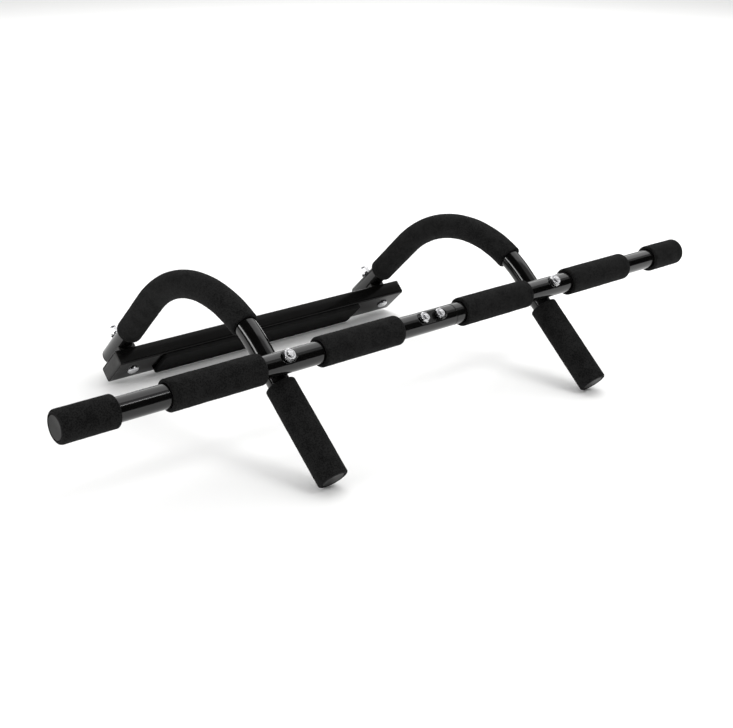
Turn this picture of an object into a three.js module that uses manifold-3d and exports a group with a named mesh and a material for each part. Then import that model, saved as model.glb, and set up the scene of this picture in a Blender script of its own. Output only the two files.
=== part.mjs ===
// Doorway pull-up bar, standing on a floor on its two handle tips and its rear brace.
//
// All pieces are modelled in the bar frame, in millimetres:
//   origin  the middle of the main bar, on its axis
//   +X      along the main bar, from its left end to its right end
//   +Y      along the straight part of the arms, from the handles towards the brace
//   +Z      away from the arms, on the side where the nuts show
// The finished set is then turned about X and lifted so that it stands on z = 0.

import * as THREE from 'three';
import { mergeVertices } from 'three/addons/utils/BufferGeometryUtils.js';
import ManifoldModule from 'manifold-3d';

const wasm = await ManifoldModule();
wasm.setup();

// Overall sizes
const GAP = 0.3;
const TUBE_R = 12.7;
const WALL = 1.5;
const BORE_R = TUBE_R - WALL;
const BAR_HALF = 472;
const ARM_X = 209.5;
const ARM_Z = -(2 * TUBE_R + GAP);
const STAND_ANGLE = THREE.MathUtils.degToRad(41.82);

// Arms: handle, bend and rear leg, measured along the centre line
const TIP_Y = -130.5;
const BEND_START_Y = 36.7;
const BEND_R = 159.6;
const BEND_ANGLE = THREE.MathUtils.degToRad(85.55);
const BEND_LENGTH = BEND_R * BEND_ANGLE;
const LEG_LENGTH = 140.4;
const LEG_TILT = Math.PI / 2 - BEND_ANGLE;

// Joint in the middle of the main bar
const SEAM_X = 34;
const SPIGOT_R = BORE_R - GAP;
const SPIGOT_END_X = -40;
const CENTRE_BOLT_X = [-15, 9];
const CENTRE_SEAT = [-26, 21];

// Flats pressed into the round tubes under nuts and bolt heads
const SEAT_LEVEL = 9.9;
const SEAT_HALF = 11;
const SEAT_RAMP = 5;

// Plastic plugs that close the tube ends
const CAP_RIM = 2.5;
const CAP_R = 12.6;
const PLUG_R = BORE_R - GAP;
const PLUG_DEPTH = 14;
const TUBE_END = CAP_RIM + GAP;

// Foam grips
const FOAM_BORE_R = TUBE_R + GAP;
const BAR_FOAM_R = 17.1;
const HANDLE_FOAM_R = 17.3;
const ARCH_FOAM_R = 16.4;
const FOAM_EDGE = 2.2;
const BAR_FOAM_SPANS = { centre: [50.2, 163.4], wide: [241, 353.8], end: [411, BAR_HALF] };
const HANDLE_FOAM_END_Y = -13;
const ARCH_FOAM_START = 29;
const ARCH_FOAM_STEPS = 11;
const ARCH_FOAM_LEG = 74;

// Rear brace, in the leg frame: Y rearwards, Z up along the leg, origin at the bolt on the leg axis
const BRACE_DROP = 105.8;
const BRACE_HALF = 234.7;
const BRACE_DEPTH = 20;
const BRACE_HEIGHT = 50;
const BRACE_CORNER = 2.5;
const BRACE_REAR = -17;
const BRACE_FRONT = BRACE_REAR - BRACE_DEPTH;
const BRACE_PLUG_DEPTH = 12;
const PAD_THICKNESS = 4.8;
const PAD_SPAN = [-172, 154];
const PAD_HEIGHT = 45.5;
const PAD_CENTRE_Z = -0.8;
const PAD_CORNER = 6;
const SADDLE_HALF_WIDTH = 11.5;
const SADDLE_HALF_HEIGHT = 11;
const SADDLE_REAR = -7.5;

// Fasteners
const BIG_BOLT_R = 3.9;
const BIG_HOLE_R = 4.3;
const BIG_HEAD_R = 7.6;
const BIG_HEAD_HEIGHT = 4;
const BIG_NUT_FLATS = 13;
const BIG_NUT_HEIGHT = 6.5;
const SMALL_BOLT_R = 3.1;
const SMALL_HOLE_R = 3.5;
const SMALL_HEAD_R = 6.8;
const SMALL_HEAD_HEIGHT = 3;
const SMALL_NUT_FLATS = 11;
const SMALL_NUT_HEIGHT = 5.2;
const NUT_CLEARANCE = 0.25;
const WASHER_R = 7.2;
const WASHER_THICKNESS = 1.6;
const BOLT_END_BEYOND_NUT = 1.6;
const BRACE_BOLT_END = 25.5;

// Facets
const ROUND_SEGMENTS = 24;
const SMALL_SEGMENTS = 16;
const CORNER_SEGMENTS = 3;

// ---------------------------------------------------------------- shapes

// Turns a profile of [radius, height] pairs about +Y.
function turned(profile, segments) {
  const points = profile.map(([radius, height]) => new THREE.Vector2(radius, height));
  return new THREE.LatheGeometry(points, segments);
}

function rod(radius, low, high, segments) {
  return turned([[0, low], [radius, low], [radius, high], [0, high]], segments);
}

// Moves the +Y axis of a turned shape onto +X or +Z.
function alongX(geometry) {
  return geometry.rotateZ(-Math.PI / 2);
}

function alongZ(geometry) {
  return geometry.rotateX(Math.PI / 2);
}

// A prism drawn in the YZ plane and drawn out along X, centred on x = 0.
function prismAlongX(shape, length) {
  const geometry = new THREE.ExtrudeGeometry(shape, {
    depth: length,
    bevelEnabled: false,
    curveSegments: CORNER_SEGMENTS,
  });
  const basis = new THREE.Matrix4().makeBasis(
    new THREE.Vector3(0, 1, 0),
    new THREE.Vector3(0, 0, 1),
    new THREE.Vector3(1, 0, 0),
  );
  return geometry.translate(0, 0, -length / 2).applyMatrix4(basis);
}

function circle(radius) {
  const shape = new THREE.Shape();
  shape.absarc(0, 0, radius, 0, 2 * Math.PI, false);
  return shape;
}

function ring(outer, inner) {
  const shape = circle(outer);
  shape.holes.push(circle(inner));
  return shape;
}

function roundedRectangle(width, height, corner) {
  const x = width / 2;
  const y = height / 2;
  const shape = new THREE.Shape();
  shape.moveTo(-x + corner, -y);
  shape.lineTo(x - corner, -y);
  shape.absarc(x - corner, -y + corner, corner, -Math.PI / 2, 0, false);
  shape.lineTo(x, y - corner);
  shape.absarc(x - corner, y - corner, corner, 0, Math.PI / 2, false);
  shape.lineTo(-x + corner, y);
  shape.absarc(-x + corner, y - corner, corner, Math.PI / 2, Math.PI, false);
  shape.lineTo(-x, -y + corner);
  shape.absarc(-x + corner, -y + corner, corner, Math.PI, 1.5 * Math.PI, false);
  return shape;
}

// A block above `level`, with ramps at both ends, that presses a flat into a tube along X.
function flatCutter(start, end, level) {
  const top = 2 * TUBE_R;
  const reach = (SEAT_RAMP * (top - level)) / (TUBE_R - SEAT_LEVEL);
  const shape = new THREE.Shape();
  shape.moveTo(start, level);
  shape.lineTo(end, level);
  shape.lineTo(end + reach, top);
  shape.lineTo(start - reach, top);
  const depth = 4 * TUBE_R;
  const geometry = new THREE.ExtrudeGeometry(shape, { depth, bevelEnabled: false });
  return geometry.translate(0, 0, -depth / 2).rotateX(Math.PI / 2);
}

// ---------------------------------------------------------------- solids

function solid(geometry) {
  const bare = geometry.clone();
  bare.deleteAttribute('normal');
  bare.deleteAttribute('uv');
  const merged = mergeVertices(bare, 1e-4);
  const corners = [];
  const index = merged.index.array;
  for (let i = 0; i < index.length; i += 3) {
    const [a, b, c] = [index[i], index[i + 1], index[i + 2]];
    if (a !== b && b !== c && c !== a) {
      corners.push(a, b, c);
    }
  }
  const mesh = new wasm.Mesh({
    numProp: 3,
    vertProperties: Float32Array.from(merged.attributes.position.array),
    triVerts: Uint32Array.from(corners),
  });
  return new wasm.Manifold(mesh);
}

function surface(manifold) {
  const mesh = manifold.getMesh();
  const geometry = new THREE.BufferGeometry();
  geometry.setAttribute('position', new THREE.BufferAttribute(mesh.vertProperties, 3));
  geometry.setIndex(new THREE.BufferAttribute(mesh.triVerts, 1));
  return geometry;
}

function subtractAll(body, geometries) {
  let result = solid(body);
  for (const geometry of geometries) {
    result = result.subtract(solid(geometry));
  }
  return surface(result);
}

// A tube with pressed flats keeps its wall: the outside and the bore are flattened separately.
function pressedTube(outside, bore, flats, holes) {
  let skin = solid(outside);
  let inside = solid(bore);
  for (const flat of flats) {
    skin = skin.subtract(solid(flat(0)));
    inside = inside.subtract(solid(flat(WALL)));
  }
  let tube = skin.subtract(inside);
  for (const hole of holes) {
    tube = tube.subtract(solid(hole));
  }
  return surface(tube);
}

// ---------------------------------------------------------------- arm centre line

// A point and a heading on the arm, by distance from the start of the bend.
function armStation(distance) {
  if (distance <= 0) {
    return { y: BEND_START_Y + distance, z: ARM_Z, angle: 0 };
  }
  const angle = Math.min(distance / BEND_R, BEND_ANGLE);
  const leg = Math.max(distance - BEND_LENGTH, 0);
  return {
    y: BEND_START_Y + BEND_R * Math.sin(angle) + leg * Math.cos(angle),
    z: ARM_Z - BEND_R * (1 - Math.cos(angle)) - leg * Math.sin(angle),
    angle,
  };
}

class ArmCurve extends THREE.Curve {
  constructor(x, distances) {
    super();
    this.x = x;
    this.stations = distances.map(armStation);
  }

  stationAt(u) {
    return this.stations[Math.round(u * (this.stations.length - 1))];
  }

  getPointAt(u, target = new THREE.Vector3()) {
    const { y, z } = this.stationAt(u);
    return target.set(this.x, y, z);
  }

  getTangentAt(u, target = new THREE.Vector3()) {
    const { angle } = this.stationAt(u);
    return target.set(0, Math.cos(angle), -Math.sin(angle));
  }
}

// Steps round the bend from the start of the arch foam, shared by the tube and the foam on it.
function archDistances() {
  const distances = [];
  for (let step = 0; step <= ARCH_FOAM_STEPS; step += 1) {
    distances.push(ARCH_FOAM_START + ((BEND_LENGTH - ARCH_FOAM_START) * step) / ARCH_FOAM_STEPS);
  }
  return distances;
}

function sweptAlongArm(shape, x, distances) {
  return new THREE.ExtrudeGeometry(shape, {
    steps: distances.length - 1,
    bevelEnabled: false,
    curveSegments: ROUND_SEGMENTS / 2,
    extrudePath: new ArmCurve(x, distances),
  });
}

// Places a shape drawn in the leg frame on the leg at `x`.
const legBolt = armStation(BEND_LENGTH + BRACE_DROP);

function onLeg(geometry, x) {
  return geometry.rotateX(LEG_TILT).translate(x, legBolt.y, legBolt.z);
}

// ---------------------------------------------------------------- pieces

function mainBarLeft() {
  const outer = alongX(rod(TUBE_R, -BAR_HALF + TUBE_END, SEAM_X, ROUND_SEGMENTS));
  const bore = alongX(rod(BORE_R, -BAR_HALF, SEAM_X + 1, ROUND_SEGMENTS));
  const flats = [
    (inset) => flatCutter(...CENTRE_SEAT, SEAT_LEVEL - inset),
    (inset) => flatCutter(...CENTRE_SEAT, SEAT_LEVEL - inset).rotateX(Math.PI),
    (inset) => flatCutter(-ARM_X - SEAT_HALF, -ARM_X + SEAT_HALF, SEAT_LEVEL - inset),
  ];
  const holes = CENTRE_BOLT_X.map((x) => boltHole(x, 0, SMALL_HOLE_R));
  holes.push(boltHole(-ARM_X, 0, BIG_HOLE_R));
  return pressedTube(outer, bore, flats, holes);
}

function mainBarRight() {
  const end = BAR_HALF - TUBE_END;
  const start = SEAM_X + GAP;
  const shoulder = 0.6;
  const neck = SPIGOT_R - WALL;
  const outer = alongX(turned(
    [[0, SPIGOT_END_X], [SPIGOT_R, SPIGOT_END_X], [SPIGOT_R, start], [TUBE_R - shoulder, start],
      [TUBE_R, start + shoulder], [TUBE_R, end], [0, end]],
    ROUND_SEGMENTS,
  ));
  const bore = alongX(turned(
    [[0, SPIGOT_END_X - 1], [neck, SPIGOT_END_X - 1], [neck, start - WALL], [BORE_R, start + WALL],
      [BORE_R, end + 1], [0, end + 1]],
    ROUND_SEGMENTS,
  ));
  const spigotLevel = SEAT_LEVEL - WALL - GAP;
  const flatStart = 2 * SPIGOT_END_X;
  const flats = [
    (inset) => flatCutter(flatStart, CENTRE_SEAT[1], spigotLevel - inset),
    (inset) => flatCutter(flatStart, CENTRE_SEAT[1], spigotLevel - inset).rotateX(Math.PI),
    (inset) => flatCutter(ARM_X - SEAT_HALF, ARM_X + SEAT_HALF, SEAT_LEVEL - inset),
  ];
  const holes = CENTRE_BOLT_X.map((x) => boltHole(x, 0, SMALL_HOLE_R));
  holes.push(boltHole(ARM_X, 0, BIG_HOLE_R));
  return pressedTube(outer, bore, flats, holes);
}

// A round cutter along Z through a tube whose axis is at `z`.
function boltHole(x, z, radius) {
  return alongZ(rod(radius, -2 * TUBE_R, 2 * TUBE_R, SMALL_SEGMENTS)).translate(x, 0, z);
}

function arm(x) {
  const tip = TIP_Y + TUBE_END - BEND_START_Y;
  const foot = BEND_LENGTH + LEG_LENGTH - TUBE_END;
  const overrun = 1;
  const bend = [0, ARCH_FOAM_START / 2, ...archDistances()];
  const outer = sweptAlongArm(circle(TUBE_R), x, [tip, ...bend, foot]);
  const bore = sweptAlongArm(circle(BORE_R), x, [tip - overrun, ...bend, foot + overrun]);
  const underside = (inset) => flatCutter(-SEAT_HALF, SEAT_HALF, SEAT_LEVEL - inset)
    .rotateX(Math.PI).rotateZ(Math.PI / 2).translate(x, 0, ARM_Z);
  const legHole = onLeg(rod(BIG_HOLE_R, -2 * TUBE_R, 2 * TUBE_R, SMALL_SEGMENTS), x);
  return pressedTube(outer, bore, [underside], [boltHole(x, ARM_Z, BIG_HOLE_R), legHole]);
}

// A push-in plug: a rim outside the tube and a body inside it. The outer face is at height 0.
function tubePlug() {
  const edge = 0.6;
  return turned(
    [[0, 0], [CAP_R - edge, 0], [CAP_R, edge], [CAP_R, CAP_RIM], [PLUG_R, CAP_RIM], [PLUG_R, PLUG_DEPTH],
      [0, PLUG_DEPTH]],
    ROUND_SEGMENTS,
  );
}

function foamSleeve(radius, low, high) {
  const soft = FOAM_EDGE * (1 - Math.SQRT1_2);
  return turned(
    [[FOAM_BORE_R, low], [radius - FOAM_EDGE, low], [radius - soft, low + soft], [radius, low + FOAM_EDGE],
      [radius, high - FOAM_EDGE], [radius - soft, high - soft], [radius - FOAM_EDGE, high],
      [FOAM_BORE_R, high], [FOAM_BORE_R, low]],
    ROUND_SEGMENTS,
  );
}

function archFoam(x) {
  const distances = [...archDistances(), BEND_LENGTH + ARCH_FOAM_LEG];
  return sweptAlongArm(ring(ARCH_FOAM_R, FOAM_BORE_R), x, distances);
}

function brace() {
  const shape = roundedRectangle(BRACE_DEPTH, BRACE_HEIGHT, BRACE_CORNER);
  shape.holes.push(roundedRectangle(BRACE_DEPTH - 2 * WALL, BRACE_HEIGHT - 2 * WALL, BRACE_CORNER - WALL));
  const middle = (BRACE_FRONT + BRACE_REAR) / 2;
  const section = prismAlongX(shape, 2 * BRACE_HALF).translate(0, middle, 0);
  const holes = [-ARM_X, ARM_X].map((x) => (
    rod(BIG_HOLE_R, 2 * BRACE_FRONT, 0, SMALL_SEGMENTS).translate(x, 0, 0)
  ));
  return onLeg(subtractAll(section, holes), 0);
}

function bracePlug(side) {
  const depth = BRACE_DEPTH - 2 * WALL - 2 * GAP;
  const height = BRACE_HEIGHT - 2 * WALL - 2 * GAP;
  const block = prismAlongX(roundedRectangle(depth, height, BRACE_CORNER - WALL), BRACE_PLUG_DEPTH);
  const middle = (BRACE_FRONT + BRACE_REAR) / 2;
  return onLeg(block.translate(side * (BRACE_HALF - BRACE_PLUG_DEPTH / 2), middle, 0), 0);
}

function bracePad() {
  const [start, end] = PAD_SPAN;
  const shape = roundedRectangle(end - start, PAD_HEIGHT, PAD_CORNER);
  const sheet = new THREE.ExtrudeGeometry(shape, {
    depth: PAD_THICKNESS,
    bevelEnabled: false,
    curveSegments: CORNER_SEGMENTS,
  });
  sheet.rotateX(Math.PI / 2).translate((start + end) / 2, BRACE_FRONT - GAP, PAD_CENTRE_Z);
  return onLeg(sheet, 0);
}

// A spacer with a hollow that cups the round leg and a flat back against the brace.
function saddle(x) {
  const front = BRACE_REAR + GAP;
  const block = new THREE.BoxGeometry(2 * SADDLE_HALF_WIDTH, SADDLE_REAR - front, 2 * SADDLE_HALF_HEIGHT);
  block.translate(0, (SADDLE_REAR + front) / 2, 0);
  const hollow = alongZ(rod(FOAM_BORE_R, -2 * TUBE_R, 2 * TUBE_R, ROUND_SEGMENTS));
  const hole = rod(BIG_HOLE_R, 2 * BRACE_FRONT, 0, SMALL_SEGMENTS);
  return onLeg(subtractAll(block, [hollow, hole]), x);
}

// A domed bolt on the +Y axis: the head lies below `seat`, the shank runs up to `end`.
function domedBolt(headRadius, headHeight, shankRadius, seat, end) {
  const steps = 3;
  const chamfer = 0.8;
  const profile = [];
  for (let step = 0; step <= steps; step += 1) {
    const turn = (Math.PI / 2) * (step / steps);
    profile.push([headRadius * Math.sin(turn), seat - headHeight * Math.cos(turn)]);
  }
  profile.push([shankRadius, seat], [shankRadius, end - chamfer], [shankRadius - chamfer, end], [0, end]);
  return turned(profile, SMALL_SEGMENTS);
}

// A hexagon nut on the +Z axis with its seat at z = 0.
function hexNut(flats, height, boltRadius) {
  const corner = flats / Math.sqrt(3);
  const points = [];
  for (let side = 0; side < 6; side += 1) {
    const turn = (Math.PI / 3) * side;
    points.push(new THREE.Vector2(corner * Math.cos(turn), corner * Math.sin(turn)));
  }
  const shape = new THREE.Shape(points);
  shape.holes.push(circle(boltRadius + NUT_CLEARANCE));
  return new THREE.ExtrudeGeometry(shape, {
    depth: height,
    bevelEnabled: false,
    curveSegments: SMALL_SEGMENTS / 2,
  });
}

function washer() {
  const shape = ring(WASHER_R, BIG_BOLT_R + NUT_CLEARANCE);
  return new THREE.ExtrudeGeometry(shape, {
    depth: WASHER_THICKNESS,
    bevelEnabled: false,
    curveSegments: SMALL_SEGMENTS / 2,
  });
}

// ---------------------------------------------------------------- assembly

function paint(color, roughness, metalness) {
  return () => new THREE.MeshStandardMaterial({ color, roughness, metalness });
}

const tubePaint = paint(0x0c0c0d, 0.22, 0.4);
const bracePaint = paint(0x17171a, 0.42, 0.4);
const foam = paint(0x1c1c1c, 0.95, 0);
const padFoam = paint(0x202020, 0.9, 0);
const capPlastic = paint(0x3a3a38, 0.6, 0);
const bracePlastic = paint(0x1e1e20, 0.5, 0);
const zinc = paint(0xc9c9cc, 0.28, 1);

const bar = new THREE.Group();
bar.name = 'doorway_pull_up_bar';

function add(name, geometry, material) {
  const mesh = new THREE.Mesh(geometry, material());
  mesh.name = name;
  bar.add(mesh);
}

add('main_bar_left', mainBarLeft(), tubePaint);
add('main_bar_right', mainBarRight(), tubePaint);
add('door_brace', brace(), bracePaint);
add('brace_pad', bracePad(), padFoam);

const sides = { left: -1, right: 1 };
for (const [side, sign] of Object.entries(sides)) {
  const x = sign * ARM_X;

  add(`${side}_arm`, arm(x), tubePaint);
  const endCap = alongX(tubePlug()).rotateY(sign > 0 ? Math.PI : 0);
  add(`${side}_bar_end_cap`, endCap.translate(sign * BAR_HALF, 0, 0), capPlastic);
  add(`${side}_handle_end_cap`, tubePlug().translate(x, TIP_Y, ARM_Z), capPlastic);
  const legPlug = alongZ(tubePlug()).translate(0, 0, BRACE_DROP - LEG_LENGTH);
  add(`${side}_leg_plug`, onLeg(legPlug, x), bracePlastic);
  add(`${side}_brace_plug`, bracePlug(sign), bracePlastic);
  add(`${side}_saddle`, saddle(x), bracePlastic);

  for (const [place, [near, far]] of Object.entries(BAR_FOAM_SPANS)) {
    const [low, high] = sign > 0 ? [near, far] : [-far, -near];
    add(`${side}_${place}_grip`, alongX(foamSleeve(BAR_FOAM_R, low, high)), foam);
  }
  const handleFoam = foamSleeve(HANDLE_FOAM_R, TIP_Y, HANDLE_FOAM_END_Y);
  add(`${side}_handle_grip`, handleFoam.translate(x, 0, ARM_Z), foam);
  add(`${side}_arch_grip`, archFoam(x), foam);

  const crossingNutZ = SEAT_LEVEL + GAP;
  const crossingBoltEnd = crossingNutZ + BIG_NUT_HEIGHT + BOLT_END_BEYOND_NUT;
  const crossingBolt = domedBolt(
    BIG_HEAD_R, BIG_HEAD_HEIGHT, BIG_BOLT_R, ARM_Z - SEAT_LEVEL - GAP, crossingBoltEnd,
  );
  add(`${side}_crossing_bolt`, alongZ(crossingBolt).translate(x, 0, 0), zinc);
  const crossingNut = hexNut(BIG_NUT_FLATS, BIG_NUT_HEIGHT, BIG_BOLT_R);
  add(`${side}_crossing_nut`, crossingNut.translate(x, 0, crossingNutZ), zinc);

  const braceBolt = domedBolt(BIG_HEAD_R, BIG_HEAD_HEIGHT, BIG_BOLT_R, BRACE_FRONT - GAP, BRACE_BOLT_END);
  const washerY = TUBE_R + GAP;
  const nutY = washerY + WASHER_THICKNESS + GAP;
  const nut = hexNut(BIG_NUT_FLATS, BIG_NUT_HEIGHT, BIG_BOLT_R).rotateX(-Math.PI / 2).translate(0, nutY, 0);
  add(`${side}_brace_bolt`, onLeg(braceBolt, x), zinc);
  add(`${side}_brace_washer`, onLeg(washer().rotateX(-Math.PI / 2).translate(0, washerY, 0), x), zinc);
  add(`${side}_brace_nut`, onLeg(nut, x), zinc);
}

CENTRE_BOLT_X.forEach((x, index) => {
  const nutZ = SEAT_LEVEL + GAP;
  const end = nutZ + SMALL_NUT_HEIGHT + BOLT_END_BEYOND_NUT;
  const bolt = domedBolt(SMALL_HEAD_R, SMALL_HEAD_HEIGHT, SMALL_BOLT_R, -SEAT_LEVEL - GAP, end);
  const nut = hexNut(SMALL_NUT_FLATS, SMALL_NUT_HEIGHT, SMALL_BOLT_R);
  add(`centre_bolt_${index + 1}`, alongZ(bolt).translate(x, 0, 0), zinc);
  add(`centre_nut_${index + 1}`, nut.translate(x, 0, nutZ), zinc);
});

// Stand the set on the floor, with the middle of its box over the origin.
for (const mesh of bar.children) {
  mesh.geometry.rotateX(STAND_ANGLE);
}
const box = new THREE.Box3().setFromObject(bar);
for (const mesh of bar.children) {
  mesh.geometry.translate(0, -(box.min.y + box.max.y) / 2, -box.min.z);
  mesh.geometry.computeVertexNormals();
}

export default bar;
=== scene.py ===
"""Doorway pull-up bar on a pale floor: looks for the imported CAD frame."""

import math

import bpy
import bmesh
from mathutils import Matrix, Vector, noise


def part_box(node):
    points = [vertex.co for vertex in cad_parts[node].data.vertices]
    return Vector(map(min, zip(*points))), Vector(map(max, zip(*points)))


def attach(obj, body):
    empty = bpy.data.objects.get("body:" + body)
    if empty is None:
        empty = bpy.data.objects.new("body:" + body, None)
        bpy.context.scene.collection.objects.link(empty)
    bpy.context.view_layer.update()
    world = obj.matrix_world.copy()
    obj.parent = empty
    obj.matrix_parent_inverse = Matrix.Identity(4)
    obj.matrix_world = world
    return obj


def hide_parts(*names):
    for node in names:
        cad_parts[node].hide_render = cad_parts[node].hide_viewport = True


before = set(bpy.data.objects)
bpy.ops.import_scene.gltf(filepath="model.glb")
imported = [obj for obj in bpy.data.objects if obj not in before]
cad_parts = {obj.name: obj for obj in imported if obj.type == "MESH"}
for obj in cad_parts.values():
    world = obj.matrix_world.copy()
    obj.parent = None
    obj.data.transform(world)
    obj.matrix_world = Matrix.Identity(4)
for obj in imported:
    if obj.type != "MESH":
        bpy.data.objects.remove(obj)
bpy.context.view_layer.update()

MM = 0.001
TAU = 2 * math.pi

# ------------------------------------------------------------------ sizes of the real thing, in millimetres

TUBE_R = 12.7
BORE_R = 11.2
BAR_HALF = 472.0
ARM_X = 209.5
ARM_Z = -25.7
STAND_ANGLE = math.radians(41.82)

TIP_Y = -130.5
BEND_START_Y = 36.7
BEND_R = 159.6
BEND_ANGLE = math.radians(85.55)
BEND_LENGTH = BEND_R * BEND_ANGLE
LEG_LENGTH = 140.4
LEG_TILT = math.pi / 2 - BEND_ANGLE
TUBE_END = 2.8

SEAM_X = 34.0
SPIGOT_R = 10.9
SPIGOT_END_X = -40.0
CENTRE_BOLT_X = (-15.0, 9.0)
SEAT_LEVEL = 9.9

FOAM_BORE_R = 13.0
BAR_FOAM_R = 17.1
HANDLE_FOAM_R = 17.3
ARCH_FOAM_R = 16.4
BAR_FOAM_SPANS = {"centre": (50.2, 163.4), "wide": (241.0, 353.8), "end": (411.0, BAR_HALF)}
HANDLE_FOAM_END_Y = -13.0
ARCH_FOAM_START = 29.0
ARCH_FOAM_END = BEND_LENGTH + 74.0

BRACE_DROP = 105.8
BRACE_HALF = 234.7
BRACE_REAR = -17.0
BRACE_FRONT = -37.0
BRACE_HEIGHT = 50.0
BRACE_WALL = 1.5
PAD_THICKNESS = 4.8
PAD_SPAN = (-172.0, 154.0)
PAD_HEIGHT = 45.5
PAD_CENTRE_Z = -0.8
CONTACT = 0.3

# Bolts and their nuts: shank radius, pitch, head radius and height, nut width across flats and height.
BIG = {"shank": 3.9, "pitch": 1.25, "head": 7.6, "head_height": 4.0, "flats": 13.0, "nut_height": 6.5}
SMALL = {"shank": 3.1, "pitch": 1.0, "head": 6.8, "head_height": 3.0, "flats": 11.0, "nut_height": 5.2}
NUT_Z = SEAT_LEVEL + CONTACT
PAST_NUT = 1.6
BRACE_BOLT_END = 25.5
WASHER_R = 7.2
WASHER_BORE_R = 4.15
WASHER_THICKNESS = 1.6


# ------------------------------------------------------------------ frames

def centre_of(node):
    low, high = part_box(node)
    return (low + high) / 2


bar_axis = centre_of("left_end_grip")
BAR = (
    Matrix.Translation((0, bar_axis.y, bar_axis.z))
    @ Matrix.Rotation(STAND_ANGLE, 4, "X")
    @ Matrix.Scale(MM, 4)
)
Z_TO_X = Matrix.Rotation(math.pi / 2, 4, "Y")
Z_TO_Y = Matrix.Rotation(-math.pi / 2, 4, "X")


def arm_station(distance):
    """Point (y, z) and heading on an arm's centre line, by distance from the start of its bend."""
    if distance <= 0:
        return BEND_START_Y + distance, ARM_Z, 0.0
    angle = min(distance / BEND_R, BEND_ANGLE)
    leg = max(distance - BEND_LENGTH, 0)
    y = BEND_START_Y + BEND_R * math.sin(angle) + leg * math.cos(angle)
    z = ARM_Z - BEND_R * (1 - math.cos(angle)) - leg * math.sin(angle)
    return y, z, angle


def on_leg(x):
    """The leg frame: Y rearwards, Z up along the leg, origin on the leg axis at the brace bolt."""
    y, z, _ = arm_station(BEND_LENGTH + BRACE_DROP)
    return BAR @ Matrix.Translation((x, y, z)) @ Matrix.Rotation(LEG_TILT, 4, "X")


def on_bar(x=0.0, y=0.0, z=0.0):
    return BAR @ Matrix.Translation((x, y, z))


# ------------------------------------------------------------------ mesh building

def build(name, rings, matrix, loop=False, sharp=35.0):
    """Joins rings of points into one closed surface. A ring of one point is a pole."""
    points = []
    starts = []
    for ring in rings:
        starts.append(len(points))
        points.extend(map(tuple, ring))
    faces = []
    pairs = list(zip(range(len(rings) - 1), range(1, len(rings))))
    if loop:
        pairs.append((len(rings) - 1, 0))
    for a, b in pairs:
        count = max(len(rings[a]), len(rings[b]))
        for i in range(count):
            j = (i + 1) % count
            corners = []
            for ring, k in ((a, i), (a, j), (b, j), (b, i)):
                corner = starts[ring] + (k if len(rings[ring]) > 1 else 0)
                if corner not in corners:
                    corners.append(corner)
            faces.append(corners)
    if not loop:
        for ring in (0, len(rings) - 1):
            if len(rings[ring]) > 1:
                faces.append([starts[ring] + k for k in range(len(rings[ring]))])
    mesh = bpy.data.meshes.new(name)
    mesh.from_pydata([matrix @ Vector(p) for p in points], [], faces)
    return finish_mesh(name, mesh, sharp)


def finish_mesh(name, mesh, sharp):
    work = bmesh.new()
    work.from_mesh(mesh)
    bmesh.ops.remove_doubles(work, verts=work.verts, dist=1e-7)
    bmesh.ops.recalc_face_normals(work, faces=work.faces)
    work.to_mesh(mesh)
    work.free()
    mesh.shade_smooth()
    mesh.set_sharp_from_angle(angle=math.radians(sharp))
    piece = bpy.data.objects.new(name, mesh)
    bpy.context.scene.collection.objects.link(piece)
    return piece


def circle_ring(radius, height, segments):
    if radius == 0:
        return [(0, 0, height)]
    return [
        (radius * math.cos(TAU * k / segments), radius * math.sin(TAU * k / segments), height)
        for k in range(segments)
    ]


def turned(name, profile, matrix, segments=96, loop=False, sharp=35.0):
    """Turns (radius, height) pairs about the local Z axis."""
    rings = [circle_ring(r, h, segments) for r, h in profile]
    return build(name, rings, matrix, loop, sharp)


def arc(centre_r, centre_h, radius, start, end, steps):
    """Points of a rounded corner in a turned profile, from angle start to end in degrees."""
    return [
        (
            centre_r + radius * math.cos(math.radians(start + (end - start) * k / steps)),
            centre_h + radius * math.sin(math.radians(start + (end - start) * k / steps)),
        )
        for k in range(steps + 1)
    ]


def smoothstep(t):
    t = min(max(t, 0.0), 1.0)
    return t * t * (3 - 2 * t)


def ranges(stops, fine, coarse, near):
    """Stations from the first stop to the last: fine steps within `near` of a stop, coarse elsewhere."""
    low, high = stops[0], stops[-1]
    stations = [low]
    while stations[-1] < high - 1e-6:
        here = stations[-1]
        close = min(abs(here - s) for s in stops)
        step = fine if close < near else min(coarse, max(close - near, fine))
        stations.append(min(here + step, high))
    return stations


# ------------------------------------------------------------------ pressed tubes

SEAT_FLAT = 7.0
SEAT_BLEND = 11.0


def pressed(point, seats, offset):
    """Presses a point of a round tube down to its nut seats, given as (start, end, side) along the tube."""
    along, across, up = point
    for start, end, side in seats:
        reach = max(start - along, along - end, 0.0)
        if reach > SEAT_BLEND:
            continue
        spread = math.hypot(reach, across)
        rise = smoothstep((spread - SEAT_FLAT) / (SEAT_BLEND - SEAT_FLAT))
        level = SEAT_LEVEL - offset + rise * (TUBE_R + 0.9 - SEAT_LEVEL)
        soft = 0.22
        height = up * side
        if height > 0:
            low = min(height, level)
            height = low - soft * math.log(
                math.exp(-(height - low) / soft) + math.exp(-(level - low) / soft)
            )
            up = side * height
    return along, across, up


def straight_tube(name, sections, seats, segments=112):
    """A tube along the bar's X axis, from (x, radius, wall offset) sections: outside first, then bore."""
    rings = []
    for x, radius, offset in sections:
        ring = []
        for k in range(segments):
            turn = TAU * k / segments
            point = (x, radius * math.cos(turn), radius * math.sin(turn))
            ring.append(pressed(point, seats, offset))
        rings.append(ring)
    return build(name, rings, BAR, loop=True)


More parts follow.
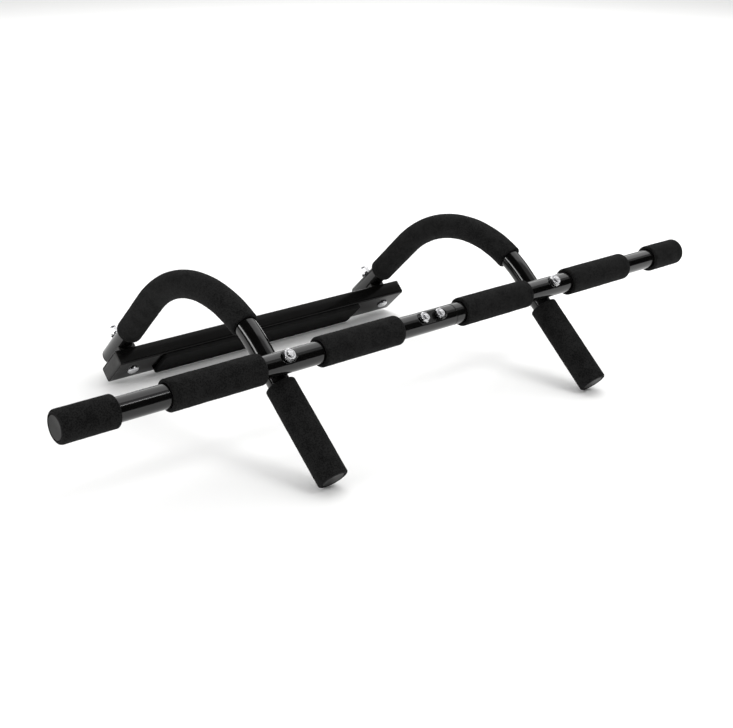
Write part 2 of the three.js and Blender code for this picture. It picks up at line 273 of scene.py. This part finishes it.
def bar_sections(stations, edge_low, edge_high):
    """Outside and bore stations of a plain tube with softened end edges."""
    low, high = stations[0], stations[-1]
    soft = 0.4
    sections = [(low, TUBE_R - edge_low, 0.0)]
    sections += [(max(low + edge_low * 0.3, x), TUBE_R, 0.0) if x == low else (x, TUBE_R, 0.0)
                 for x in stations if x < high - edge_high]
    sections += [(high - edge_high, TUBE_R, 0.0), (high - 0.3 * edge_high, TUBE_R - 0.3 * edge_high, 0.0),
                 (high, TUBE_R - edge_high, 0.0)]
    sections += [(high, BORE_R + soft, 1.5)]
    sections += [(x, BORE_R, 1.5) for x in reversed(stations) if low < x < high]
    sections += [(low, BORE_R + soft, 1.5)]
    return sections


centre_seats = [(CENTRE_BOLT_X[0], CENTRE_BOLT_X[1], 1), (CENTRE_BOLT_X[0], CENTRE_BOLT_X[1], -1)]


def make_bar_left():
    start = -BAR_HALF + TUBE_END
    seats = [*centre_seats, (-ARM_X, -ARM_X, 1)]
    stops = [start, -ARM_X, CENTRE_BOLT_X[0], CENTRE_BOLT_X[1], SEAM_X]
    stations = ranges(stops, 0.8, 14.0, SEAT_BLEND + 2)
    return straight_tube("bar_tube_left", bar_sections(stations, 0.2, 0.5), seats)


def make_bar_right():
    end = BAR_HALF - TUBE_END
    start = SEAM_X + CONTACT
    stations = ranges([start, start + 1, ARM_X, end], 0.8, 14.0, SEAT_BLEND + 2)
    shoulder = 0.6
    neck = SPIGOT_R - 1.5
    spigot = ranges([SPIGOT_END_X, CENTRE_BOLT_X[0], CENTRE_BOLT_X[1], start], 1.5, 8.0, SEAT_BLEND)
    sections = [(x, SPIGOT_R, 1.8) for x in spigot]
    sections += [(start, TUBE_R - shoulder, 0.0), (start + 0.2, TUBE_R - 0.3, 0.0)]
    sections += [(x, TUBE_R, 0.0) for x in stations[1:]]
    sections += [(x, BORE_R, 1.5) for x in reversed(stations) if x > start + 4]
    sections += [(x, neck, 3.3) for x in reversed(spigot) if x < start - 1.5]
    centre = (2 * SPIGOT_END_X, CENTRE_BOLT_X[1])
    seats = [(*centre, 1), (*centre, -1), (ARM_X, ARM_X, 1)]
    return straight_tube("bar_tube_right", sections, seats)


def arm_ring(x, distance, radius, offset, segments, seat, ripple=0.0, phase=0.0):
    y, z, angle = arm_station(distance)
    ring = []
    for k in range(segments):
        turn = TAU * k / segments
        side = radius * math.cos(turn)
        up = radius * math.sin(turn)
        if seat:
            _, side, up = pressed((distance + BEND_START_Y, side, up), [(0.0, 0.0, -1)], offset)
        if ripple:
            inner = max(-math.sin(turn), 0.0) ** 2
            up += ripple * inner * math.sin(phase)
        ring.append((x + side, y + up * math.sin(angle), z + up * math.cos(angle)))
    return ring


def make_arm(side, x):
    tip = TIP_Y + TUBE_END - BEND_START_Y
    foot = BEND_LENGTH + LEG_LENGTH - TUBE_END
    stations = ranges([tip, -BEND_START_Y, 0.0], 0.9, 14.0, SEAT_BLEND + 2)
    stations += [BEND_LENGTH * k / 56 for k in range(1, 57)]
    stations += [BEND_LENGTH + 20, BEND_LENGTH + 60, BEND_LENGTH + 100, foot]
    edge = 0.3
    segments = 96
    rings = [arm_ring(x, tip, TUBE_R - edge, 0.0, segments, False)]
    rings += [arm_ring(x, max(d, tip + edge), TUBE_R, 0.0, segments, True) for d in stations[:-1]]
    rings += [arm_ring(x, foot - edge, TUBE_R, 0.0, segments, False),
              arm_ring(x, foot, TUBE_R - edge, 0.0, segments, False)]
    rings += [arm_ring(x, d, BORE_R, 1.5, segments, True) for d in reversed(stations)]
    return build(f"{side}_arm_tube", rings, BAR, loop=True)


# ------------------------------------------------------------------ foam

FOAM_EDGE = 2.2
WORN_FOAM_EDGE = 3.6


def uneven(point, scale, amount):
    """A small smooth swelling of soft foam, the same on every run."""
    return amount * noise.noise(Vector(point) * scale)


def foam_profile(radius, low, high, low_edge, high_edge):
    """Outline of a sleeve with rounded ends: the outside from low to high, then both rims of the bore."""
    straight = high - low - low_edge - high_edge
    profile = [(FOAM_BORE_R, low + 0.8), (FOAM_BORE_R + 0.5, low)]
    profile += arc(radius - low_edge, low + low_edge, low_edge, -90, 0, 9)
    steps = max(int(straight / 2.5), 4)
    profile += [(radius, low + low_edge + straight * k / steps) for k in range(1, steps)]
    profile += arc(radius - high_edge, high - high_edge, high_edge, 0, 90, 9)
    profile += [(FOAM_BORE_R + 0.5, high), (FOAM_BORE_R, high - 0.8)]
    return profile


def foam_sleeve(name, radius, low, high, matrix, seed, low_edge=FOAM_EDGE, high_edge=FOAM_EDGE):
    segments = 88
    rings = []
    for r, h in foam_profile(radius, low, high, low_edge, high_edge):
        ring = []
        for k in range(segments):
            turn = TAU * k / segments
            c, s = math.cos(turn), math.sin(turn)
            grow = 0.0
            if r > FOAM_BORE_R + 1:
                fine = uneven((c * r + seed, s * r, h), 0.16, 0.10)
                broad = uneven((c * 2, s * 2 + seed, h), 0.05, 0.16)
                grow = fine + broad
            ring.append(((r + grow) * c, (r + grow) * s, h))
        rings.append(ring)
    return build(name, rings, matrix, loop=True, sharp=50.0)


def make_arch_foam(side, x, seed):
    segments = 88
    start, end = ARCH_FOAM_START, ARCH_FOAM_END
    stations = []
    for r, h in foam_profile(ARCH_FOAM_R, start, end, FOAM_EDGE, FOAM_EDGE):
        stations.append((h, r))
    stations += [(end - (end - start) * k / 60, FOAM_BORE_R) for k in range(1, 60)]
    rings = []
    for distance, radius in stations:
        y, z, angle = arm_station(distance)
        ring = []
        for k in range(segments):
            turn = TAU * k / segments
            c, s = math.cos(turn), math.sin(turn)
            grow = 0.0
            if radius > FOAM_BORE_R + 1:
                fine = uneven((c * radius + seed, s * radius, distance), 0.16, 0.10)
                broad = uneven((c * 2 + seed, s * 2, distance), 0.045, 0.2)
                bend = 1.0 if 0 < distance < BEND_LENGTH else 0.0
                crease = 0.13 * max(-s, 0.0) ** 2 * math.sin(distance * 0.62 + 2 * broad * 8) * bend
                grow = fine + broad + crease
            across, up = (radius + grow) * c, (radius + grow) * s
            ring.append((x + across, y + up * math.sin(angle), z + up * math.cos(angle)))
        rings.append(ring)
    return build(f"{side}_arch_foam", rings, BAR, loop=True, sharp=50.0)


# ------------------------------------------------------------------ caps, bolts, nuts and washers

def tube_cap(name, matrix):
    """A push-in cap with a slightly dished face. Its outer face is at height 0 and its body goes up."""
    r = 12.6
    profile = [(0, 0.35), (4, 0.3), (8.5, 0.18), (10.6, 0.05), (11.4, 0.0)]
    profile += arc(r - 0.7, 0.7, 0.7, -90, 0, 5)
    profile += [(r, 2.5), (10.9, 2.5), (10.9, 4.5), (10.6, 5.0), (10.9, 6.0), (10.6, 7.0), (10.9, 8.0),
                (10.4, 13.5), (9.9, 14), (8.6, 14), (8.6, 4.0), (0, 4.0)]
    return turned(name, profile, matrix, 72)


def thread_point(radius, pitch, turn, height, depth):
    """Radius of a thread at an angle and height, as a rounded V."""
    phase = (height / pitch - turn / TAU) % 1.0
    tooth = abs(2 * phase - 1)
    return radius - depth * smoothstep(tooth)


def domed_bolt(name, matrix, size, seat, end, thread_length):
    """A button-head bolt along local Z: head below the seat, threaded end at the top."""
    head, head_height, shank, pitch = size["head"], size["head_height"], size["shank"], size["pitch"]
    segments = 56
    wall = 0.42 * head_height
    rim = 0.35
    rings = [[(0, 0, seat - head_height)]]
    steps = 12
    for k in range(1, steps + 1):
        turn = math.pi / 2 * k / steps
        dome = wall + (head_height - wall) * math.cos(turn) ** 0.85
        rings.append(circle_ring((head - rim) * math.sin(turn), seat - dome, segments))
    rings.append(circle_ring(head - 0.1, seat - wall + 0.1, segments))
    rings.append(circle_ring(head, seat - wall + rim, segments))
    rings.append(circle_ring(head, seat - 0.15, segments))
    rings.append(circle_ring(head - 0.15, seat, segments))
    rings.append(circle_ring(shank, seat, segments))
    start = end - thread_length
    chamfer = 0.9
    depth = 0.58 * pitch
    height = start
    rings.append(circle_ring(shank, start - 0.4, segments))
    while height <= end + 1e-6:
        fade = min((height - start) / pitch, 1.0)
        limit = shank - max(height - (end - chamfer), 0.0)
        ring = []
        for k in range(segments):
            turn = TAU * k / segments
            r = min(thread_point(shank, pitch, turn, height, depth * fade), limit)
            ring.append((r * math.cos(turn), r * math.sin(turn), height))
        rings.append(ring)
        height += pitch / 9
    rings.append(circle_ring(shank * 0.55, rings[-1][0][2] + 0.06, segments))
    rings.append([(0, 0, rings[-1][0][2] + 0.03)])
    return build(name, rings, matrix, sharp=30.0)


def hex_nut(name, matrix, size, twist=0.0):
    """A hexagon nut on local Z with chamfered corners and a countersunk bore. Its seat is at height 0."""
    segments = 96
    half = size["flats"] / 2
    height = size["nut_height"]
    bore = size["shank"] + 0.12

    def hexagon(turn):
        local = (turn % (TAU / 6)) - TAU / 12
        return half / math.cos(local)

    def ring(radius_of, height_of):
        points = []
        for k in range(segments):
            turn = TAU * k / segments
            r = radius_of(turn)
            points.append((r * math.cos(turn + twist), r * math.sin(turn + twist), height_of(r)))
        return points

    slope = math.tan(math.radians(28))
    flat_r = half * 0.955

    def top(r):
        return height - max(r - flat_r, 0.0) * slope

    def bottom(r):
        return max(r - flat_r, 0.0) * slope

    rings = [
        ring(lambda t: bore, lambda r: 0.55),
        ring(lambda t: bore + 0.55, lambda r: 0.0),
        ring(lambda t: flat_r, lambda r: 0.0),
        ring(lambda t: hexagon(t) - 0.12, bottom),
        ring(hexagon, lambda r: bottom(r) + 0.12),
        ring(hexagon, lambda r: top(r) - 0.12),
        ring(lambda t: hexagon(t) - 0.12, top),
        ring(lambda t: flat_r, lambda r: height),
        ring(lambda t: bore + 0.75, lambda r: height),
        ring(lambda t: bore, lambda r: height - 0.7),
    ]
    return build(name, rings, matrix, loop=True, sharp=24.0)


def flat_washer(name, matrix, outer, inner, thickness):
    soft = 0.25
    lower = [(inner, soft), (inner + soft, 0), (outer - soft, 0), (outer, soft)]
    profile = lower + [(r, thickness - h) for r, h in reversed(lower)]
    return turned(name, profile, matrix, 72, loop=True, sharp=40.0)


# ------------------------------------------------------------------ brace and pad

def rounded_outline(width, height, corner, steps):
    """Corner points of a rounded rectangle, counter-clockwise."""
    points = []
    for cx, cy, start in ((1, 1, 0), (-1, 1, 90), (-1, -1, 180), (1, -1, 270)):
        for k in range(steps + 1):
            turn = math.radians(start + 90 * k / steps)
            points.append(
                (cx * (width / 2 - corner) + corner * math.cos(turn),
                 cy * (height / 2 - corner) + corner * math.sin(turn))
            )
    return points


def section_along_x(outline, x, depth_centre):
    """An outline drawn in the leg frame's YZ plane at x."""
    return [(x, depth_centre + a, b) for a, b in outline]


def make_brace():
    middle = (BRACE_FRONT + BRACE_REAR) / 2
    depth = BRACE_REAR - BRACE_FRONT
    corner = 3.0
    steps = 8
    rings = []
    edge = 0.35

    def outer(inset):
        return rounded_outline(depth - 2 * inset, BRACE_HEIGHT - 2 * inset, corner - inset, steps)

    walls = 2 * BRACE_WALL
    inner = rounded_outline(depth - walls, BRACE_HEIGHT - walls, corner - BRACE_WALL, steps)
    spans = [-BRACE_HALF + edge + (2 * BRACE_HALF - 2 * edge) * k / 60 for k in range(61)]
    rings.append(section_along_x(outer(edge), -BRACE_HALF, middle))
    rings += [section_along_x(outer(0), x, middle) for x in spans]
    rings.append(section_along_x(outer(edge), BRACE_HALF, middle))
    rings.append(section_along_x(inner, BRACE_HALF, middle))
    rings.append(section_along_x(inner, -BRACE_HALF, middle))
    return build("brace_tube", rings, on_leg(0), loop=True, sharp=40.0)


def make_brace_plug(side, sign):
    middle = (BRACE_FRONT + BRACE_REAR) / 2
    depth = BRACE_REAR - BRACE_FRONT - 2 * BRACE_WALL - 0.6
    height = BRACE_HEIGHT - 2 * BRACE_WALL - 0.6

    def outline(inset):
        return rounded_outline(depth - 2 * inset, height - 2 * inset, 1.0, 4)

    face = BRACE_HALF - 0.05
    stations = [(face, 3.4), (face, 0.5), (face - 0.15, 0.15), (face - 0.5, 0.0), (face - 4, 0.0),
                (face - 11.6, 0.3), (face - 12, 0.8)]
    rings = [section_along_x(outline(inset), sign * x, middle) for x, inset in stations]
    return build(f"{side}_brace_end_plug", rings, on_leg(0), sharp=40.0)


def make_pad():
    """The foam sheet: a rounded rectangle with soft rims, a little uneven on its open face."""
    start, end = PAD_SPAN
    width = end - start
    front = BRACE_FRONT - CONTACT - PAD_THICKNESS
    back = BRACE_FRONT - CONTACT
    rim = 1.3
    rings = []

    def outline(inset, y):
        points = rounded_outline(width - 2 * inset, PAD_HEIGHT - 2 * inset, 6.0 - min(inset, 5.0), 8)
        return [((start + end) / 2 + a, y, PAD_CENTRE_Z + b) for a, b in resample(points)]

    rings.append(outline(0.15, back))
    rings.append(outline(0.0, back - 0.2))
    for k in range(7):
        turn = math.pi / 2 * k / 6
        rings.append(outline(rim * (1 - math.cos(turn)), front + rim * (1 - math.sin(turn))))
    for inset in (2.2, 4, 7, 11, 16, 21):
        rings.append(outline(inset, front))
    def sunken(x, y):
        return uneven((x, y, 3.0), 0.06, 0.22) + 0.1

    soft = [[(x, y + (sunken(x, z) if y < back - 0.5 else 0.0), z) for x, y, z in ring] for ring in rings]
    return build("brace_foam_pad", soft, on_leg(0), sharp=50.0)


def resample(points):
    """Adds points along the straight sides of an outline. The count depends only on the corner count."""
    dense = []
    count = len(points)
    quarter = count // 4
    for i, (x, y) in enumerate(points):
        nx, ny = points[(i + 1) % count]
        long_side = (i + 1) % quarter == 0
        cuts = (110 if ((i + 1) // quarter) % 2 == 1 else 16) if long_side else 1
        dense += [(x + (nx - x) * k / cuts, y + (ny - y) * k / cuts) for k in range(cuts)]
    return dense


def make_saddle(side, x):
    """A moulded spacer with a hollow for the round leg and a flat back on the brace."""
    half_w, half_h = 11.5, 11.0
    front = BRACE_REAR + CONTACT
    rear = -7.5
    columns = 28
    rings = []
    for z, inset in ((-half_h, 0.5), (-half_h + 0.5, 0.0), (half_h - 0.5, 0.0), (half_h, 0.5)):
        ring = [(-half_w + inset, front + inset, z), (half_w - inset, front + inset, z)]
        for k in range(columns + 1):
            u = half_w - inset - (2 * half_w - 2 * inset) * k / columns
            hollow = -math.sqrt(max(FOAM_BORE_R ** 2 - u * u, 0.0))
            ring.append((u, min(hollow, rear), z))
        rings.append(ring)
    return build(f"{side}_leg_saddle", rings, on_leg(x), sharp=35.0)


# ------------------------------------------------------------------ materials

def shader(name):
    material = bpy.data.materials.new(name)
    material.use_nodes = True
    nodes = material.node_tree.nodes
    links = material.node_tree.links
    principled = nodes["Principled BSDF"]
    coordinates = nodes.new("ShaderNodeTexCoord").outputs["Object"]
    return material, nodes, links, principled, coordinates


def noise_texture(nodes, links, coordinates, scale, detail=2.0, roughness=0.5, stretch=None):
    texture = nodes.new("ShaderNodeTexNoise")
    texture.inputs["Scale"].default_value = scale
    texture.inputs["Detail"].default_value = detail
    texture.inputs["Roughness"].default_value = roughness
    if stretch:
        mapping = nodes.new("ShaderNodeMapping")
        mapping.inputs["Scale"].default_value = stretch
        links.new(coordinates, mapping.inputs["Vector"])
        coordinates = mapping.outputs["Vector"]
    links.new(coordinates, texture.inputs["Vector"])
    return texture.outputs["Fac"]


def remap(nodes, links, value, low, high, from_low=0.0, from_high=1.0):
    node = nodes.new("ShaderNodeMapRange")
    node.inputs["From Min"].default_value = from_low
    node.inputs["From Max"].default_value = from_high
    node.inputs["To Min"].default_value = low
    node.inputs["To Max"].default_value = high
    links.new(value, node.inputs["Value"])
    return node.outputs["Result"]


def ramp(nodes, links, value, stops):
    node = nodes.new("ShaderNodeValToRGB")
    elements = node.color_ramp.elements
    while len(elements) < len(stops):
        elements.new(0.5)
    for element, (place, colour) in zip(elements, stops):
        element.position = place
        element.color = (*colour, 1.0)
    links.new(value, node.inputs["Fac"])
    return node.outputs["Color"]


def mix_values(nodes, links, a, b, amount):
    node = nodes.new("ShaderNodeMix")
    node.data_type = "FLOAT"
    node.inputs["Factor"].default_value = amount
    links.new(a, node.inputs["A"])
    links.new(b, node.inputs["B"])
    return node.outputs["Result"]


def bump(nodes, links, height, strength, distance, normal=None):
    node = nodes.new("ShaderNodeBump")
    node.inputs["Strength"].default_value = strength
    node.inputs["Distance"].default_value = distance
    links.new(height, node.inputs["Height"])
    if normal is not None:
        links.new(normal, node.inputs["Normal"])
    return node.outputs["Normal"]


def worn_edges(nodes, links, coordinates, start, full, patch_scale):
    """How rubbed the surface is: up to 1 along outer edges, broken into patches, and 0 elsewhere."""
    pointiness = nodes.new("ShaderNodeNewGeometry").outputs["Pointiness"]
    edge = remap(nodes, links, pointiness, 0.0, 1.0, start, full)
    cloud = noise_texture(nodes, links, coordinates, patch_scale, 4.0, 0.6)
    patches = remap(nodes, links, cloud, 0.15, 1.0, 0.42, 0.62)
    product = nodes.new("ShaderNodeMath")
    product.operation = "MULTIPLY"
    links.new(edge, product.inputs[0])
    links.new(patches, product.inputs[1])
    return product.outputs["Value"]


def blend_colours(nodes, links, factor, colour, other):
    """Goes from a linked colour to a fixed one."""
    node = nodes.new("ShaderNodeMix")
    node.data_type = "RGBA"
    links.new(factor, node.inputs[0])
    links.new(colour, node.inputs[6])
    node.inputs[7].default_value = (*other, 1.0)
    return node.outputs[2]


def grey(value, warm=0.0):
    return (value * (1 + warm), value, value * (1 - warm))


def paint_material(name, dark, light, rough, coat, peel, specular=0.5):
    """Powder coat: a faint orange peel, small changes of gloss and fine rubbed streaks."""
    material, nodes, links, principled, where = shader(name)
    cloudy = noise_texture(nodes, links, where, 22.0, 4.0, 0.55)
    fine = noise_texture(nodes, links, where, 420.0, 3.0, 0.5)
    streak = noise_texture(nodes, links, where, 60.0, 5.0, 0.65, stretch=(0.12, 5.0, 5.0))
    mixed = mix_values(nodes, links, cloudy, streak, 0.4)
    paint = ramp(nodes, links, mixed, [(0.3, grey(dark, 0.03)), (0.7, grey(light, 0.03))])
    worn = worn_edges(nodes, links, where, 0.53, 0.62, 350.0)
    links.new(blend_colours(nodes, links, worn, paint, grey(0.03, 0.02)), principled.inputs["Base Color"])
    links.new(remap(nodes, links, mixed, rough * 0.75, rough * 1.35, 0.3, 0.7),
              principled.inputs["Roughness"])
    links.new(bump(nodes, links, fine, peel, 0.00012), principled.inputs["Normal"])
    principled.inputs["Coat Weight"].default_value = coat
    principled.inputs["Coat Roughness"].default_value = 0.06
    principled.inputs["Specular IOR Level"].default_value = specular
    return material


def foam_material(name, dark, light, cell, depth):
    """Closed-cell foam: small open pits, a finer grain between them, and broad mottling."""
    material, nodes, links, principled, where = shader(name)
    cells = nodes.new("ShaderNodeTexVoronoi")
    cells.inputs["Scale"].default_value = 1000.0 / cell
    cells.inputs["Randomness"].default_value = 1.0
    links.new(where, cells.inputs["Vector"])
    pits = remap(nodes, links, cells.outputs["Distance"], 0.0, 1.0, 0.05, 0.6)
    grain = noise_texture(nodes, links, where, 1800.0 / cell, 4.0, 0.65)
    mottle = noise_texture(nodes, links, where, 75.0, 4.0, 0.6)
    speckle = mix_values(nodes, links, grain, pits, 0.4)
    tone = mix_values(nodes, links, speckle, mottle, 0.35)
    colour = ramp(nodes, links, tone, [(0.36, grey(dark)), (0.52, grey(dark + 0.3 * (light - dark))),
                                       (0.64, grey(light))])
    worn = worn_edges(nodes, links, where, 0.52, 0.60, 500.0)
    links.new(blend_colours(nodes, links, worn, colour, grey(1.6 * light)), principled.inputs["Base Color"])
    links.new(remap(nodes, links, speckle, 0.98, 0.82), principled.inputs["Roughness"])
    first = bump(nodes, links, pits, 0.5, depth)
    links.new(bump(nodes, links, grain, 0.4, depth * 0.7, first), principled.inputs["Normal"])
    principled.inputs["Specular IOR Level"].default_value = 0.12
    return material


def plastic_material(name, dark, light, rough):
    """Moulded plastic with a fine spark-eroded grain and slight flow marks."""
    material, nodes, links, principled, where = shader(name)
    grain = noise_texture(nodes, links, where, 1300.0, 3.0, 0.6)
    flow = noise_texture(nodes, links, where, 60.0, 3.0, 0.5)
    tone = mix_values(nodes, links, grain, flow, 0.5)
    colour = ramp(nodes, links, tone, [(0.3, grey(dark, 0.03)), (0.7, grey(light, 0.03))])
    worn = worn_edges(nodes, links, where, 0.53, 0.62, 600.0)
    links.new(blend_colours(nodes, links, worn, colour, grey(2.2 * light)), principled.inputs["Base Color"])
    links.new(remap(nodes, links, flow, rough - 0.06, rough + 0.08, 0.3, 0.7),
              principled.inputs["Roughness"])
    links.new(bump(nodes, links, grain, 0.3, 0.00008), principled.inputs["Normal"])
    principled.inputs["Specular IOR Level"].default_value = 0.25
    return material


def zinc_material(name):
    """Bright zinc plate: cloudy tone, fine pitting and a few brighter rubbed spots."""
    material, nodes, links, principled, where = shader(name)
    cloudy = noise_texture(nodes, links, where, 420.0, 4.0, 0.6)
    fine = noise_texture(nodes, links, where, 2600.0, 3.0, 0.6)
    tone = mix_values(nodes, links, cloudy, fine, 0.35)
    colour = ramp(nodes, links, tone, [(0.3, (0.42, 0.42, 0.44)), (0.5, (0.68, 0.68, 0.70)),
                                       (0.7, (0.88, 0.88, 0.86))])
    worn = worn_edges(nodes, links, where, 0.53, 0.64, 900.0)
    links.new(blend_colours(nodes, links, worn, colour, (0.90, 0.90, 0.88)),
              principled.inputs["Base Color"])
    links.new(remap(nodes, links, tone, 0.34, 0.14, 0.3, 0.7), principled.inputs["Roughness"])
    links.new(bump(nodes, links, fine, 0.25, 0.00006), principled.inputs["Normal"])
    principled.inputs["Metallic"].default_value = 1.0
    return material


MATERIALS = {
    "tube_paint": paint_material("gloss_black_powder_coat", 0.0015, 0.004, 0.12, 0.1, 0.08, 0.42),
    "brace_paint": paint_material("satin_black_powder_coat", 0.0015, 0.004, 0.13, 0.0, 0.14, 0.09),
    "grip_foam": foam_material("black_grip_foam", 0.0007, 0.0105, 1.5, 0.0004),
    "pad_foam": foam_material("black_pad_foam", 0.0012, 0.006, 1.0, 0.00022),
    "cap_plastic": plastic_material("dark_grey_cap_plastic", 0.006, 0.011, 0.50),
    "black_plastic": plastic_material("black_plastic", 0.012, 0.020, 0.42),
    "zinc": zinc_material("bright_zinc_plate"),
}


def place(piece, node, slot):
    """Puts a finished piece on the body in place of its CAD node."""
    piece.data.materials.append(MATERIALS[slot])
    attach(piece, "root")
    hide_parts(node)
    return piece


# ------------------------------------------------------------------ the object

place(make_bar_left(), "main_bar_left", "tube_paint")
place(make_bar_right(), "main_bar_right", "tube_paint")
place(make_brace(), "door_brace", "brace_paint")
place(make_pad(), "brace_pad", "pad_foam")

for seed, (side, sign) in enumerate((("left", -1), ("right", 1))):
    x = sign * ARM_X
    place(make_arm(side, x), f"{side}_arm", "tube_paint")

    end_cap = on_bar(sign * BAR_HALF) @ (Z_TO_X if sign < 0 else Z_TO_X @ Matrix.Rotation(math.pi, 4, "X"))
    place(tube_cap(f"{side}_bar_cap", end_cap), f"{side}_bar_end_cap", "cap_plastic")
    tip = on_bar(x, TIP_Y, ARM_Z) @ Z_TO_Y
    place(tube_cap(f"{side}_handle_cap", tip), f"{side}_handle_end_cap", "cap_plastic")
    foot = on_leg(x) @ Matrix.Translation((0, 0, BRACE_DROP - LEG_LENGTH))
    place(tube_cap(f"{side}_leg_cap", foot), f"{side}_leg_plug", "black_plastic")
    place(make_brace_plug(side, sign), f"{side}_brace_plug", "black_plastic")
    place(make_saddle(side, x), f"{side}_saddle", "black_plastic")

    for number, (spot, (near, far)) in enumerate(BAR_FOAM_SPANS.items()):
        low, high = (near, far) if sign > 0 else (-far, -near)
        name = f"{side}_{spot}_foam"
        far_edge = WORN_FOAM_EDGE if spot == "end" else FOAM_EDGE
        edges = (FOAM_EDGE, far_edge) if sign > 0 else (far_edge, FOAM_EDGE)
        sleeve = foam_sleeve(name, BAR_FOAM_R, low, high, BAR @ Z_TO_X, 31 * seed + 7 * number, *edges)
        place(sleeve, f"{side}_{spot}_grip", "grip_foam")
    handle = foam_sleeve(f"{side}_handle_foam", HANDLE_FOAM_R, TIP_Y, HANDLE_FOAM_END_Y,
                         on_bar(x, 0, ARM_Z) @ Z_TO_Y, 50 + seed)
    place(handle, f"{side}_handle_grip", "grip_foam")
    place(make_arch_foam(side, x, 60 + seed), f"{side}_arch_grip", "grip_foam")

    bolt = domed_bolt(f"{side}_crossing_bolt_threaded", on_bar(x), BIG, ARM_Z - NUT_Z,
                      NUT_Z + BIG["nut_height"] + PAST_NUT, 12.0)
    place(bolt, f"{side}_crossing_bolt", "zinc")
    nut = hex_nut(f"{side}_crossing_hex_nut", on_bar(x, 0, NUT_Z), BIG, 0.35 + 0.3 * seed)
    place(nut, f"{side}_crossing_nut", "zinc")

    through = on_leg(x) @ Z_TO_Y
    bolt = domed_bolt(f"{side}_brace_bolt_threaded", through, BIG, BRACE_FRONT - CONTACT,
                      BRACE_BOLT_END, 14.0)
    place(bolt, f"{side}_brace_bolt", "zinc")
    washer_y = TUBE_R + CONTACT
    washer = flat_washer(f"{side}_brace_flat_washer", through @ Matrix.Translation((0, 0, washer_y)),
                         WASHER_R, WASHER_BORE_R, WASHER_THICKNESS)
    place(washer, f"{side}_brace_washer", "zinc")
    nut_y = washer_y + WASHER_THICKNESS + CONTACT
    nut = hex_nut(f"{side}_brace_hex_nut", through @ Matrix.Translation((0, 0, nut_y)), BIG)
    place(nut, f"{side}_brace_nut", "zinc")

for number, x in enumerate(CENTRE_BOLT_X, start=1):
    bolt = domed_bolt(f"centre_bolt_threaded_{number}", on_bar(x), SMALL, -NUT_Z,
                      NUT_Z + SMALL["nut_height"] + PAST_NUT, 10.0)
    place(bolt, f"centre_bolt_{number}", "zinc")
    nut = hex_nut(f"centre_hex_nut_{number}", on_bar(x, 0, NUT_Z), SMALL, 0.15 + 0.5 * number)
    place(nut, f"centre_nut_{number}", "zinc")


# ------------------------------------------------------------------ floor, light and camera

floor_mesh = bpy.data.meshes.new("floor")
floor_mesh.from_pydata([(-14, -0.85, 0), (24, -0.85, 0), (24, 28, 0), (-14, 28, 0)], [], [(0, 1, 2, 3)])
floor = bpy.data.objects.new("floor", floor_mesh)
bpy.context.scene.collection.objects.link(floor)
floor_material, floor_nodes, floor_links, floor_shader, _ = shader("pale_floor")
floor_shader.inputs["Base Color"].default_value = (0.86, 0.86, 0.855, 1)
floor_shader.inputs["Roughness"].default_value = 0.75
floor_shader.inputs["Specular IOR Level"].default_value = 0.2
floor_mesh.materials.append(floor_material)


def softbox(name, place_at, look_at, width, depth, radiance):
    """An area light of even brightness, aimed at a point (or straight down) and unseen by the camera."""
    data = bpy.data.lights.new(name, "AREA")
    data.shape = "RECTANGLE"
    data.size = width
    data.size_y = depth
    data.energy = radiance * math.pi * width * depth
    light = bpy.data.objects.new(name, data)
    light.location = place_at
    if look_at:
        light.rotation_euler = (Vector(look_at) - Vector(place_at)).to_track_quat("-Z", "Y").to_euler()
    light.visible_camera = False
    bpy.context.scene.collection.objects.link(light)


softbox("main_softbox", (2.3, 1.98, 2.0), None, 4.6, 5.24, 1.7)
softbox("front_softbox", (2.3, -1.18, 2.0), None, 4.6, 1.08, 0.5)
softbox("front_strip", (0.68, -1.62, 2.0), None, 0.95, 0.5, 13.0)
softbox("left_strip", (-2.4, 0.35, 0.85), (-0.2, 0.0, 0.15), 2.0, 0.4, 9.0)
softbox("background_softbox", (6.5, 7.6, 2.7), (1.5, 0.0, 0.3), 9.5, 4.6, 0.7)

world = bpy.data.worlds.new("studio")
world.use_nodes = True
world.node_tree.nodes["Background"].inputs["Color"].default_value = (1.0, 1.0, 1.0, 1)
world.node_tree.nodes["Background"].inputs["Strength"].default_value = 0.68
world.cycles_visibility.glossy = False
bpy.context.scene.world = world
bpy.context.scene.view_settings.view_transform = "Standard"

camera_data = bpy.data.cameras.new("camera")
camera_data.lens = 59.63
camera_data.sensor_width = 36
camera = bpy.data.objects.new("camera", camera_data)
camera.location = (-0.92884, -1.08578, 0.56275)
camera.rotation_euler = (
    Matrix.Rotation(math.radians(-41.411), 4, "Z")
    @ Matrix.Rotation(math.radians(90 - 20.620), 4, "X")
    @ Matrix.Rotation(math.radians(0.400), 4, "Z")
).to_euler()
camera_data.clip_start = 0.05
camera_data.clip_end = 60
bpy.context.scene.collection.objects.link(camera)
bpy.context.scene.camera = camera
